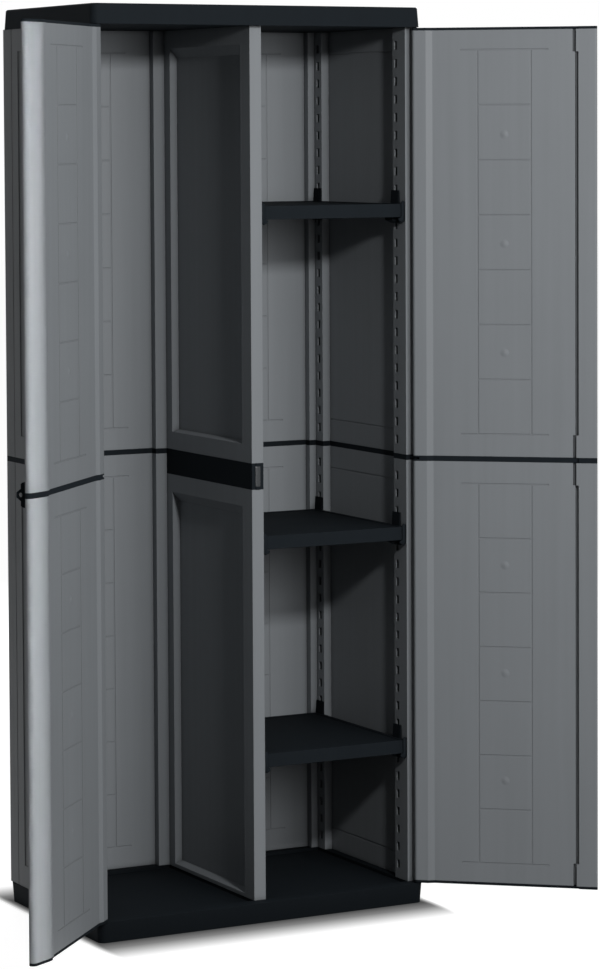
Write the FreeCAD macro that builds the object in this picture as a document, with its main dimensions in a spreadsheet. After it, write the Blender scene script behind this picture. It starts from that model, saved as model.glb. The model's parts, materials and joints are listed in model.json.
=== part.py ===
import FreeCAD, Part
import Sketcher
import math
import os

# Tall two-door resin storage cabinet, modelled in millimetres.
# Origin: middle of the footprint, on the ground. Front is -Y, right is +X, up is +Z.
# Each door is drawn closed, in a frame of its own whose origin is its hinge axis,
# and is then swung open about that axis.

DRIVING = [
    ("cab_width", 680.0, "overall width of cap and base"),
    ("cab_depth", 405.0, "overall depth of cap and base"),
    ("cab_height", 1700.0, "overall height"),
    ("base_height", 38.0, "height of the base moulding"),
    ("cap_height", 37.0, "height of the top cap"),
    ("draft_angle", 3.4, "draft of the cap and base skirts"),
    ("corner_radius", 13.0, "upright corners of cap and base"),
    ("rim_bevel", 2.5, "bevelled rim round the cap's top"),
    ("deck_thick", 4.0, "plate of cap and base"),
    ("rib_thick", 3.0, "ribs under the plates"),
    ("rib_columns", 5.0, "rib cells across the width"),
    ("rib_rows", 4.0, "rib cells across the depth"),
    ("floor_drop", 6.0, "floor trays below the rim of the base"),
    ("wall_inset", 1.0, "walls inside the edge of cap and base"),
    ("side_thick", 21.0, "side wall across its posts"),
    ("skin_thick", 5.0, "moulded skin between the posts"),
    ("post_wall", 3.0, "wall of the hollow posts"),
    ("front_post", 48.0, "front post of a side wall, along the depth"),
    ("rear_post", 30.0, "rear post of a side wall, along the depth"),
    ("back_thick", 22.0, "back wall across its posts"),
    ("back_post", 35.0, "posts of the back wall, along the width"),
    ("field_depth", 1.5, "recessed fields on the outside of the walls"),
    ("field_border", 45.0, "border beside the recessed fields"),
    ("joint_level", 850.0, "middle of the joint between lower and upper walls"),
    ("joint_height", 10.0, "visible height of the joint strips"),
    ("peg_height", 8.0, "pegs that seat in the hollow posts"),
    ("seat_gap", 0.2, "clearance round pegs and tongues"),
    ("divider_thick", 24.0, "centre divider"),
    ("divider_recess", 15.0, "framed recess in the divider's left face"),
    ("divider_hollow", 4.0, "framed recess in the divider's right face"),
    ("divider_front", 39.0, "front stile of the divider"),
    ("divider_rear", 25.0, "rear stile of the divider"),
    ("divider_rail", 34.0, "rails at the ends of each divider panel"),
    ("recess_slope", 18.0, "height of the sloping ends of the divider recess"),
    ("band_height", 49.0, "joint band of the divider"),
    ("bead_width", 8.0, "raised bead on the front of the band"),
    ("bead_rise", 1.5, "how far the bead stands out"),
    ("door_setback", 1.0, "outer door face behind the front of the cap"),
    ("door_thick", 20.0, "door across its borders"),
    ("door_gap", 2.0, "air between closed doors and walls"),
    ("door_width", 350.0, "door with its lip"),
    ("door_side_gap", 3.0, "door edge inside the side of the cap"),
    ("door_end_gap", 1.5, "air over and under a door"),
    ("lap_gap", 1.2, "air between the lips of the closed doors"),
    ("lap_rise", 5.0, "left stile in front of the door faces"),
    ("lap_nose", 7.0, "left lip behind the door faces"),
    ("lap_slope", 44.0, "slope from the left lip up to its stile"),
    ("edge_round", 6.0, "rounded hinge edge of a door"),
    ("lip_round", 3.0, "rounded free edge of the right door"),
    ("nose_front", 5.0, "rounded front of the left lip"),
    ("nose_back", 8.0, "rounded back of the left lip"),
    ("crown_round", 40.0, "soft crown of the left stile"),
    ("end_strip", 5.0, "end strips over and under a door"),
    ("border_width", 27.0, "border at the hinge edge"),
    ("border_slope", 12.0, "width of the slope beside the border"),
    ("field_drop", 4.0, "door field below its borders"),
    ("stile_width", 35.0, "separate stile of the right door"),
    ("lap_stile", 54.0, "separate stile of the left door, which laps over the right one"),
    ("stile_groove", 6.5, "open groove between panel and stile"),
    ("stile_jog", 4.5, "shift of that groove beside the rails"),
    ("tongue_length", 12.0, "panel tongue reaching into the stile"),
    ("tongue_thick", 6.0, "thickness of that tongue"),
    ("door_skin", 3.2, "skins of the hollow door panels"),
    ("chamber_count", 3.0, "hollow chambers in a door panel"),
    ("chamber_start", 14.0, "solid hinge edge of a door panel"),
    ("rail_height", 42.0, "plain rails at the ends of each panel"),
    ("rail_line", 166.0, "length of the rail groove"),
    ("ladder_width", 101.0, "distance between the ladder grooves"),
    ("ladder_cells", 7.0, "cells of the ladder pattern"),
    ("line_width", 2.6, "width of the moulded grooves"),
    ("line_depth", 0.7, "depth of the moulded grooves"),
    ("face_recess", 1.5, "framed field on the outside of a door"),
    ("face_border", 34.0, "border beside that field"),
    ("pin_inset", 8.0, "hinge axis inside the side of the cap"),
    ("pin_back", 9.0, "hinge axis behind the front of the cap"),
    ("pin_radius", 3.0, "hinge pins"),
    ("pin_fit", 0.05, "radial clearance of the hinge pins"),
    ("pin_depth", 12.0, "pin engagement in cap and base"),
    ("eye_radius", 6.0, "middle hinge eye, outside"),
    ("eye_height", 4.0, "thickness of the middle hinge eye"),
    ("eye_gap", 0.3, "air over and under the eye"),
    ("eye_room", 1.5, "air behind the eye in the door strip"),
    ("left_open", 134.0, "left door opened from closed, in degrees"),
    ("right_open", 140.0, "right door opened from closed, in degrees"),
    ("rack_pitch", 34.0, "pitch of the rack slots"),
    ("rack_start", 27.0, "first slot above the foot of a wall panel"),
    ("slot_height", 16.0, "rack slot height"),
    ("slot_width", 10.0, "rack slot width"),
    ("front_slot", 31.0, "front slots behind the front of the wall"),
    ("rear_slot", 10.0, "rear slots in front of the back wall"),
    ("bracket_length", 28.0, "shelf bracket along the depth"),
    ("bracket_plate", 4.0, "upright plate of a bracket"),
    ("bracket_rise", 25.0, "bracket above the shelf"),
    ("bracket_ledge", 16.0, "ledge under the shelf"),
    ("ledge_thick", 6.0, "thickness of that ledge"),
    ("hook_drop", 6.7, "slot middle below the shelf top"),
    ("shelf_thick", 25.0, "shelf across its rim"),
    ("shelf_gap", 0.6, "air round a shelf"),
    ("shelf_setback", 4.0, "shelf front behind the wall front"),
    ("shelf_skin", 3.0, "shelf plate and rim"),
    ("shelf_columns", 3.0, "rib cells under a shelf, across"),
    ("shelf_rows", 2.0, "rib cells under a shelf, along"),
    ("tray_depth", 1.2, "shallow tray in the shelf top"),
    ("tray_border", 9.0, "border of that tray"),
    ("bottom_shelf_slot", 7.0, "slot number of the bottom shelf, lower panels"),
    ("middle_shelf_slot", 19.0, "slot number of the middle shelf, lower panels"),
    ("top_shelf_slot", 13.0, "slot number of the top shelf, upper panels"),
    ("grip_height", 47.0, "door grip, top to bottom"),
    ("grip_thick", 5.0, "door grip across"),
    ("grip_reach", 12.0, "door grip out from the door"),
    ("lug_reach", 20.0, "padlock lug out from the door"),
    ("lug_height", 17.0, "padlock lug, top to bottom"),
    ("lug_hole", 4.0, "radius of the padlock hole"),
    ("grip_inset", 18.0, "grip middle inside the free edge of a door"),
    ("grip_plate", 2.0, "grip base plate thickness"),
    ("grip_foot", 12.0, "grip base plate beyond the grip"),
]

doc = FreeCAD.newDocument("cabinet")
sheet = doc.addObject("Spreadsheet::Sheet", "Sizes")


class Size:
    """A number together with the sheet formula that gives it."""

    def __init__(self, value, text):
        self.value = float(value)
        self.text = text

    @staticmethod
    def of(other):
        return other if isinstance(other, Size) else Size(other, repr(float(other)))

    def join(self, other, sign, value):
        return Size(value, f"({self.text} {sign} {other.text})")

    def __add__(self, other):
        other = Size.of(other)
        return self.join(other, "+", self.value + other.value)

    def __radd__(self, other):
        return Size.of(other) + self

    def __sub__(self, other):
        other = Size.of(other)
        return self.join(other, "-", self.value - other.value)

    def __rsub__(self, other):
        return Size.of(other) - self

    def __mul__(self, other):
        other = Size.of(other)
        return self.join(other, "*", self.value * other.value)

    __rmul__ = __mul__

    def __truediv__(self, other):
        other = Size.of(other)
        return self.join(other, "/", self.value / other.value)

    def __neg__(self):
        return Size(-self.value, f"(0 - {self.text})")

    def floor(self):
        return Size(math.floor(self.value), f"floor({self.text})")


class Sheet:
    """The driving sizes, each an attribute of this object."""


dim = Sheet()
for row, (alias, value, note) in enumerate(DRIVING, start=1):
    sheet.set(f"A{row}", note)
    sheet.set(f"B{row}", str(value))
    sheet.setAlias(f"B{row}", alias)
    setattr(dim, alias, Size(value, f"Sizes.{alias}"))
doc.recompute()


class Piece:
    """One moulding: a PartDesign body built from sketches and patterned cuts.

    side -1 draws the same piece mirrored in X.
    """

    def __init__(self, label, side=1):
        self.body = doc.addObject("PartDesign::Body", "Body")
        self.body.Label = label
        self.side = side

    def plane(self, role):
        return next(f for f in self.body.Origin.OriginFeatures if f.Role == role)

    def attach(self, feature, role, offset):
        feature.AttachmentSupport = (self.plane(role), [""])
        feature.MapMode = "FlatFace"
        feature.setExpression("AttachmentOffset.Base.z", Size.of(offset).text)

    def outline(self, role, offset, points):
        """Closed sketch whose corners are held by their distances from the origin."""
        sketch = self.body.newObject("Sketcher::SketchObject", "Sketch")
        self.attach(sketch, role, offset)
        flip = self.side if role != "YZ_Plane" else 1
        corners = [(Size.of(across) * flip, Size.of(up)) for across, up in points]
        places = [FreeCAD.Vector(a.value, b.value, 0) for a, b in corners]
        for index, start in enumerate(places):
            end = places[(index + 1) % len(places)]
            sketch.addGeometry(Part.LineSegment(start, end), False)
        for index in range(len(places)):
            following = (index + 1) % len(places)
            sketch.addConstraint(Sketcher.Constraint("Coincident", index, 2, following, 1))
        for index, (across, up) in enumerate(corners):
            for kind, size in (("DistanceX", across), ("DistanceY", up)):
                number = sketch.addConstraint(Sketcher.Constraint(kind, -1, 1, index, 1, size.value))
                sketch.setExpression(f"Constraints[{number}]", size.text)
        return sketch

    def prism(self, kind, role, points, low, high, taper=None):
        """Pad or pocket of an outline between two levels along the plane's own axis."""
        low, high = Size.of(low), Size.of(high)
        start = low if kind == "Pad" else high
        if role == "XZ_Plane":
            start = -high if kind == "Pad" else -low
        sketch = self.outline(role, start, points)
        feature = self.body.newObject("PartDesign::" + kind, kind)
        feature.Profile = sketch
        feature.setExpression("Length", (high - low).text)
        if taper is not None:
            feature.setExpression("TaperAngle", taper.text)
        return feature

    def pad(self, points, low, high, role="XY_Plane"):
        return self.prism("Pad", role, points, low, high)

    def pocket(self, points, low, high, role="XY_Plane"):
        return self.prism("Pocket", role, points, low, high)

    def primitive(self, kind, across, along, up, sizes):
        feature = self.body.newObject("PartDesign::" + kind, kind)
        self.attach(feature, "XY_Plane", up)
        feature.setExpression("AttachmentOffset.Base.x", Size.of(across).text)
        feature.setExpression("AttachmentOffset.Base.y", Size.of(along).text)
        for name, size in sizes.items():
            feature.setExpression(name, Size.of(size).text)
        return feature

    def block(self, kind, x, y, z):
        """Additive or subtractive box given by its ranges."""
        low, high = (Size.of(x[0]), Size.of(x[1]))
        if self.side < 0:
            low, high = -high, -low
        sizes = {"Length": high - low, "Width": Size.of(y[1]) - y[0], "Height": Size.of(z[1]) - z[0]}
        return self.primitive(kind + "Box", low, y[0], z[0], sizes)

    def add(self, x, y, z):
        return self.block("Additive", x, y, z)

    def cut(self, x, y, z):
        return self.block("Subtractive", x, y, z)

    def rod(self, kind, x, y, radius, low, high):
        sizes = {"Radius": radius, "Height": Size.of(high) - low}
        return self.primitive(kind + "Cylinder", Size.of(x) * self.side, y, low, sizes)

    def turn(self, feature, axis, angle):
        feature.AttachmentOffset = FreeCAD.Placement(
            feature.AttachmentOffset.Base, FreeCAD.Rotation(axis, angle))
        return feature

    def repeat(self, features, axis, spacing, count):
        pattern = self.body.newObject("PartDesign::LinearPattern", "Pattern")
        pattern.Originals = features
        pattern.Direction = (self.plane(axis), [""])
        pattern.setExpression("Length", (Size.of(spacing) * (Size.of(count) - 1)).text)
        pattern.setExpression("Occurrences", Size.of(count).text)
        self.body.Tip = pattern
        return pattern

    def grid(self, features, spacing_x, columns, spacing_y, rows):
        pattern = self.repeat(features, "X_Axis", spacing_x, columns)
        pattern.Direction2 = (self.plane("Y_Axis"), [""])
        pattern.setExpression("Length2", (Size.of(spacing_y) * (Size.of(rows) - 1)).text)
        pattern.setExpression("Occurrences2", Size.of(rows).text)
        return pattern

    def round_edges(self, radius, chosen):
        """Fillet the edges of the tip for which chosen(edge) is true."""
        doc.recompute()
        tip = self.body.Tip
        names = [f"Edge{i}" for i, edge in enumerate(tip.Shape.Edges, start=1) if chosen(edge)]
        fillet = self.body.newObject("PartDesign::Fillet", "Fillet")
        fillet.Base = (tip, names)
        fillet.setExpression("Radius", Size.of(radius).text)
        return fillet

    def bevel_edges(self, size, chosen):
        """Chamfer the edges of the tip for which chosen(edge) is true."""
        doc.recompute()
        tip = self.body.Tip
        names = [f"Edge{i}" for i, edge in enumerate(tip.Shape.Edges, start=1) if chosen(edge)]
        bevel = self.body.newObject("PartDesign::Chamfer", "Chamfer")
        bevel.Base = (tip, names)
        bevel.setExpression("Size", Size.of(size).text)
        return bevel

    def swing(self, x, y, angle):
        """Carry the piece to its hinge axis and turn it about that axis."""
        self.body.Placement = FreeCAD.Placement(
            FreeCAD.Vector(0, 0, 0), FreeCAD.Rotation(FreeCAD.Vector(0, 0, 1), 1))
        self.body.setExpression("Placement.Base.x", x.text)
        self.body.setExpression("Placement.Base.y", y.text)
        self.body.setExpression("Placement.Rotation.Angle", angle.text)


def rectangle(x0, x1, y0, y1):
    return [(x0, y0), (x1, y0), (x1, y1), (x0, y1)]


def spans_height(height):
    """Edges that climb most of a moulding's height."""
    def chosen(edge):
        box = edge.BoundBox
        return box.ZLength > 0.9 * height.value
    return chosen


def at_level(level):
    """Edges that lie flat at one level."""
    def chosen(edge):
        box = edge.BoundBox
        return box.ZLength < 1e-6 and abs(box.ZMin - level.value) < 1e-6
    return chosen


def upright_at(x, y):
    """Upright edges that stand at one place in plan."""
    def chosen(edge):
        box = edge.BoundBox
        return (box.ZLength > 1 and abs(box.XMin - x.value) < 1e-4 and box.XLength < 1e-4
                and abs(box.YMin - y.value) < 1e-4 and box.YLength < 1e-4)
    return chosen


# Places that several pieces share
half_width = dim.cab_width / 2
half_depth = dim.cab_depth / 2
cap_level = dim.cab_height - dim.cap_height
wall_outer = half_width - dim.wall_inset
wall_inner = wall_outer - dim.side_thick
wall_front = dim.door_setback + dim.door_thick + dim.door_gap - half_depth
back_outer = half_depth - dim.wall_inset
back_inner = back_outer - dim.back_thick
skin_side = wall_outer - dim.skin_thick
skin_back = back_outer - dim.skin_thick
joint_low = dim.joint_level - dim.joint_height / 2
joint_high = dim.joint_level + dim.joint_height / 2
divider_half = dim.divider_thick / 2
band_low = joint_high - dim.band_height
pin_x = half_width - dim.pin_inset
pin_y = dim.pin_back - half_depth
socket_radius = dim.pin_radius + dim.pin_fit
WALL_PANELS = {"lower": (dim.base_height, joint_low), "upper": (joint_high, cap_level)}


# Hollows inside the posts, as plan ranges, and the pegs that fill their ends
def hollow(x0, x1, y0, y1):
    wall = dim.post_wall
    return (x0 + wall, x1 - wall), (y0 + wall, y1 - wall)


def peg(span):
    return (span[0] + dim.seat_gap, span[1] - dim.seat_gap)


SIDE_HOLLOWS = [
    hollow(wall_inner, wall_outer, wall_front, wall_front + dim.front_post),
    hollow(wall_inner, wall_outer, back_inner - dim.rear_post, back_inner),
]
BACK_HOLLOWS = [
    hollow(Size.of(0), dim.back_post, back_inner, back_outer),
    hollow(wall_outer - dim.back_post, wall_outer, back_inner, back_outer),
]
DIVIDER_HOLLOWS = [
    hollow(-divider_half, divider_half, wall_front, wall_front + dim.divider_front),
    hollow(-divider_half, divider_half, back_inner - dim.divider_rear, back_inner),
]


def add_pegs(piece, hollows, low, high):
    for x, y in hollows:
        piece.add(peg(x), peg(y), (low, high))


def rib_cells(piece, x, y, z, columns, rows):
    """Cells between crossing ribs, as one cut repeated across and along."""
    pitch_x = (x[1] - x[0] + dim.rib_thick) / columns
    pitch_y = (y[1] - y[0] + dim.rib_thick) / rows
    cell = piece.cut((x[0], x[0] + pitch_x - dim.rib_thick), (y[0], y[0] + pitch_y - dim.rib_thick), z)
    piece.grid([cell], pitch_x, columns, pitch_y, rows)


# Base: drafted skirt, floor trays on top, ribs underneath, sockets for the door pins
def make_base():
    piece = Piece("base")
    points = rectangle(-half_width, half_width, -half_depth, half_depth)
    pad = piece.prism("Pad", "XY_Plane", points, 0, dim.base_height)
    pad.Profile[0].setExpression("AttachmentOffset.Base.z", dim.base_height.text)
    pad.Reversed = True
    pad.setExpression("TaperAngle", (-dim.draft_angle).text)
    piece.round_edges(dim.corner_radius, spans_height(dim.base_height))
    floor = dim.base_height - dim.floor_drop
    trays = ((-wall_inner, -divider_half), (divider_half, wall_inner))
    for tray in trays:
        piece.cut(tray, (wall_front + dim.post_wall, back_inner), (floor, dim.base_height + 1))
    for side in (-1, 1):
        piece.side = side
        piece.rod("Subtractive", pin_x, pin_y, socket_radius, dim.base_height - dim.pin_depth - 1,
                  dim.base_height + 1)
        add_pegs(piece, SIDE_HOLLOWS, dim.base_height, dim.base_height + dim.peg_height)
        add_pegs(piece, BACK_HOLLOWS, dim.base_height, dim.base_height + dim.peg_height)
    piece.side = 1
    add_pegs(piece, DIVIDER_HOLLOWS, dim.base_height, dim.base_height + dim.peg_height)
    rib_cells(piece, (-wall_inner, wall_inner), (wall_front, back_inner), (-1, floor - dim.deck_thick),
              dim.rib_columns, dim.rib_rows)


# Top cap: double-walled lid with a bevelled rim, sockets for the door pins
def make_cap():
    piece = Piece("top_cap")
    points = rectangle(-half_width, half_width, -half_depth, half_depth)
    pad = piece.prism("Pad", "XY_Plane", points, cap_level, dim.cab_height)
    pad.setExpression("TaperAngle", (-dim.draft_angle).text)
    piece.round_edges(dim.corner_radius, spans_height(dim.cap_height))
    piece.bevel_edges(dim.rim_bevel, at_level(dim.cab_height))
    piece.cut((-wall_inner, wall_inner), (wall_front, back_inner),
              (cap_level + dim.deck_thick, dim.cab_height - dim.deck_thick))
    for side in (-1, 1):
        piece.side = side
        piece.rod("Subtractive", pin_x, pin_y, socket_radius, cap_level - 1,
                  cap_level + dim.pin_depth + 1)
        add_pegs(piece, SIDE_HOLLOWS, cap_level - dim.peg_height, cap_level)
        add_pegs(piece, BACK_HOLLOWS, cap_level - dim.peg_height, cap_level)
    piece.side = 1
    add_pegs(piece, DIVIDER_HOLLOWS, cap_level - dim.peg_height, cap_level)


SIDE_SECTION = [
    (wall_inner, wall_front), (wall_outer, wall_front), (wall_outer, back_inner),
    (wall_inner, back_inner), (wall_inner, back_inner - dim.rear_post),
    (skin_side, back_inner - dim.rear_post), (skin_side, wall_front + dim.front_post),
    (wall_inner, wall_front + dim.front_post),
]
BACK_SECTION = [
    (0, back_inner), (dim.back_post, back_inner), (dim.back_post, skin_back),
    (wall_outer - dim.back_post, skin_back), (wall_outer - dim.back_post, back_inner),
    (wall_outer, back_inner), (wall_outer, back_outer), (0, back_outer),
]


def slot_count(low, high):
    return ((high - low - dim.rack_start * 2) / dim.rack_pitch).floor() + 1


def cut_racks(piece, x, low, high):
    """Two columns of rack slots through a post wall."""
    foot = low + dim.rack_start - dim.slot_height / 2
    level = (foot, foot + dim.slot_height)
    front = wall_front + dim.front_slot
    rear = back_inner - dim.rear_slot - dim.slot_width
    slots = [piece.cut(x, (start, start + dim.slot_width), level) for start in (front, rear)]
    piece.repeat(slots, "Z_Axis", dim.rack_pitch, slot_count(low, high))


# Side walls: a skin between two hollow posts; the right one has shelf racks in its posts
def make_side_panel(name, side, low, high):
    piece = Piece(name, side)
    piece.pad(SIDE_SECTION, low, high)
    for x, y in SIDE_HOLLOWS:
        piece.cut(x, y, (low - 1, high + 1))
    border = dim.field_border
    piece.cut((wall_outer - dim.field_depth, wall_outer + 1), (wall_front + border, back_inner - border),
              (low + dim.rail_height, high - dim.rail_height))
    for level in (low + dim.rail_height, high - dim.rail_height - dim.line_width):
        piece.cut((skin_side - 1, skin_side + dim.line_depth),
                  (wall_front + dim.front_post + 1, back_inner - dim.rear_post - 1),
                  (level, level + dim.line_width))
    piece.cut((wall_outer - dim.line_depth, wall_outer + 1),
              (back_inner - dim.field_border / 3 - dim.line_width, back_inner - dim.field_border / 3),
              (low - 1, high + 1))
    if side > 0:
        cut_racks(piece, (wall_inner - 1, wall_inner + dim.post_wall + 1), low, high)


# Joint strips of the side walls, with the eye of the middle hinge
def make_side_joint(name, side):
    piece = Piece(name, side)
    piece.pad(SIDE_SECTION, joint_low, joint_high)
    add_pegs(piece, SIDE_HOLLOWS, joint_high, joint_high + dim.peg_height)
    add_pegs(piece, SIDE_HOLLOWS, joint_low - dim.peg_height, joint_low)
    eye_low = dim.joint_level - dim.eye_height / 2
    eye_high = dim.joint_level + dim.eye_height / 2
    piece.add((pin_x - dim.eye_radius, pin_x + dim.eye_radius), (pin_y, wall_front + 1), (eye_low, eye_high))
    piece.rod("Additive", pin_x, pin_y, dim.eye_radius, eye_low, eye_high)
    piece.rod("Subtractive", pin_x, pin_y, socket_radius, eye_low - 1, eye_high + 1)


def ladder(piece, middle, y, foot, head):
    """Moulded ladder pattern between two rail grooves: two uprights and rungs."""
    half = dim.ladder_width / 2
    line = dim.line_width / 2
    for level in (foot, head):
        reach = dim.rail_line / 2
        piece.cut((middle - reach, middle + reach), y, (level - line, level + line))
    for x in (middle - half, middle + half):
        piece.cut((x - line, x + line), y, (foot, head))
    cell = (head - foot) / dim.ladder_cells
    rung = piece.cut((middle - half, middle + half), y, (foot + cell - line, foot + cell + line))
    piece.repeat([rung], "Z_Axis", cell, dim.ladder_cells - 1)


# Back wall: one panel behind each compartment, lower and upper
def make_back_panel(name, side, low, high):
    piece = Piece(name, side)
    piece.pad(BACK_SECTION, low, high)
    for x, y in BACK_HOLLOWS:
        piece.cut(x, y, (low - 1, high + 1))
    border = dim.field_border
    piece.cut((border, wall_outer - border), (back_outer - dim.field_depth, back_outer + 1),
              (low + dim.rail_height, high - dim.rail_height))
    ladder(piece, wall_outer / 2, (skin_back - 1, skin_back + dim.line_depth),
           low + dim.rail_height, high - dim.rail_height)


def make_back_joint(name, side):
    piece = Piece(name, side)
    piece.pad(BACK_SECTION, joint_low, joint_high)
    add_pegs(piece, BACK_HOLLOWS, joint_high, joint_high + dim.peg_height)
    add_pegs(piece, BACK_HOLLOWS, joint_low - dim.peg_height, joint_low)


# Divider: framed panels with a deep sloping recess on the left and racks on the right
def make_divider_panel(name, low, high):
    piece = Piece(name)
    piece.pad(rectangle(-divider_half, divider_half, wall_front, back_inner), low, high)
    for x, y in DIVIDER_HOLLOWS:
        piece.cut(x, y, (low - 1, high + 1))
    foot = low + dim.divider_rail
    head = high - dim.divider_rail
    floor = dim.divider_recess - divider_half
    y0 = wall_front + dim.divider_front
    y1 = back_inner - dim.divider_rear
    deep = [(-divider_half - 1, foot), (-divider_half, foot), (floor, foot + dim.recess_slope),
            (floor, head - dim.recess_slope), (-divider_half, head), (-divider_half - 1, head)]
    piece.pocket(deep, y0, y1, "XZ_Plane")
    piece.cut((divider_half - dim.divider_hollow, divider_half + 1),
              (wall_front + dim.front_post, back_inner - dim.rear_post), (foot, head))
    cut_racks(piece, (divider_half - dim.post_wall - 1, divider_half + 1), low, high)


def make_divider_joint():
    piece = Piece("divider_joint")
    piece.pad(rectangle(-divider_half, divider_half, wall_front, back_inner), band_low, joint_high)
    add_pegs(piece, DIVIDER_HOLLOWS, joint_high, joint_high + dim.peg_height)
    add_pegs(piece, DIVIDER_HOLLOWS, band_low - dim.peg_height, band_low)
    bead = dim.bead_width / 2
    piece.add((-bead, bead), (wall_front - dim.bead_rise, wall_front + 1), (band_low, joint_high))


# Shelves and their brackets
SHELVES = {
    "bottom": dim.base_height + dim.rack_start + dim.rack_pitch * dim.bottom_shelf_slot + dim.hook_drop,
    "middle": dim.base_height + dim.rack_start + dim.rack_pitch * dim.middle_shelf_slot + dim.hook_drop,
    "top": joint_high + dim.rack_start + dim.rack_pitch * dim.top_shelf_slot + dim.hook_drop,
}
slot_reach = (dim.bracket_length - dim.slot_width) / 2
BRACKET_STARTS = (wall_front + dim.front_slot - slot_reach,
                  back_inner - dim.rear_slot - dim.slot_width - slot_reach)


def make_shelf(name, top):
    piece = Piece(name)
    bottom = top - dim.shelf_thick
    x0, x1 = divider_half + dim.shelf_gap, wall_inner - dim.shelf_gap
    y0, y1 = wall_front + dim.shelf_setback, back_inner - dim.shelf_gap
    piece.pad(rectangle(x0, x1, y0, y1), bottom, top)
    border = dim.tray_border
    piece.cut((x0 + border, x1 - border), (y0 + border, y1 - border), (top - dim.tray_depth, top + 1))
    rim = dim.bracket_plate + dim.shelf_gap + dim.shelf_skin
    plate = top - dim.tray_depth - dim.shelf_skin
    rib_cells(piece, (x0 + rim, x1 - rim), (y0 + dim.shelf_skin, y1 - dim.shelf_skin), (bottom - 1, plate),
              dim.shelf_columns, dim.shelf_rows)
    notch = dim.bracket_plate + dim.shelf_gap
    for start in BRACKET_STARTS:
        y = (start - dim.shelf_gap, start + dim.bracket_length + dim.shelf_gap)
        piece.cut((x0 - 1, divider_half + notch), y, (bottom - 1, top + 1))
        piece.cut((wall_inner - notch, x1 + 1), y, (bottom - 1, top + 1))


def make_brackets(name, top):
    """Four brackets: upright plate with a tapering head, ledge, and hook in a slot."""
    bottom = top - dim.shelf_thick
    slot = top - dim.hook_drop
    brackets = []
    for face, side in ((wall_inner, 1), (-divider_half, -1)):
        for start in BRACKET_STARTS:
            piece = Piece("bracket", side)
            plate = face - dim.bracket_plate
            section = [
                (face, bottom - dim.ledge_thick * 2), (face, top + dim.bracket_rise),
                (face - dim.bracket_plate / 2, top + dim.bracket_rise), (plate, top),
                (plate, bottom), (face - dim.bracket_ledge, bottom),
                (face - dim.bracket_ledge, bottom - dim.ledge_thick),
                (plate, bottom - dim.ledge_thick * 2),
            ]
            piece.pad(section, start, start + dim.bracket_length, "XZ_Plane")
            hook = dim.slot_height / 2 - dim.seat_gap
            along = start + slot_reach
            piece.add((face - 1, face + dim.post_wall - dim.seat_gap),
                      (along + dim.seat_gap, along + dim.slot_width - dim.seat_gap),
                      (slot - hook, slot))
            brackets.append(piece.body)
    group = doc.addObject("Part::Compound", "Brackets")
    group.Links = brackets
    group.Label = name


# Doors, drawn closed about the hinge axis; the right door is drawn and the left one mirrored
hinge_edge = dim.pin_inset - dim.door_side_gap
face_out = dim.door_setback - dim.pin_back
face_in = face_out + dim.door_thick
face_field = face_in - dim.field_drop
face_lap = face_out - dim.lap_rise
free_edge = hinge_edge - dim.door_width
door_lap = dim.door_width * 2 + dim.door_side_gap * 2 - dim.cab_width
lip_edge = free_edge + door_lap + dim.lap_gap
nose = face_out + dim.lap_nose
slope_end = free_edge + dim.lap_slope
edge_foot = nose + (face_in - nose) / dim.lap_slope * door_lap + dim.lap_gap
tongue_low = face_out + dim.door_skin
tongue_high = tongue_low + dim.tongue_thick
door_low = dim.base_height + dim.door_end_gap
door_high = cap_level - dim.door_end_gap
field_start = hinge_edge - dim.border_width - dim.border_slope
STILES = {"left": free_edge + dim.lap_stile, "right": free_edge + dim.stile_width}
DOOR_PANELS = {"lower": (door_low + dim.end_strip, joint_low), "upper": (joint_high, door_high - dim.end_strip)}
BORDER = [
    (hinge_edge, face_out), (hinge_edge, face_in), (hinge_edge - dim.border_width, face_in),
    (field_start, face_field),
]

# Free edges, from the stile's front round to its back: the left lip laps over the right one
FREE_ENDS = {
    "left": [(STILES["left"], face_lap), (free_edge, face_lap), (free_edge, nose), (slope_end, face_in)],
    "right": [(STILES["right"], face_out), (lip_edge, face_out), (lip_edge, nose + dim.lap_gap),
              (free_edge, edge_foot), (free_edge, face_in)],
}
FREE_ROUNDS = {
    "left": [(free_edge, face_lap, dim.nose_front), (free_edge, nose, dim.nose_back),
             (slope_end, face_in, dim.crown_round)],
    "right": [(free_edge, face_in, dim.lip_round)],
}


def panel_end(hand):
    return STILES[hand] + dim.stile_groove


def tongue_end(hand):
    return panel_end(hand) - dim.tongue_length


def chambers(hand):
    """Plan ranges of the hollow chambers in a door panel."""
    start = panel_end(hand) + dim.stile_jog + dim.door_skin
    end = hinge_edge - dim.chamber_start
    pitch = (end - start + dim.door_skin) / dim.chamber_count
    spans = []
    for number in range(int(dim.chamber_count.value)):
        left = start + pitch * number
        spans.append(((left, left + pitch - dim.door_skin),
                      (face_out + dim.door_skin, face_field - dim.door_skin)))
    return spans


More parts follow.
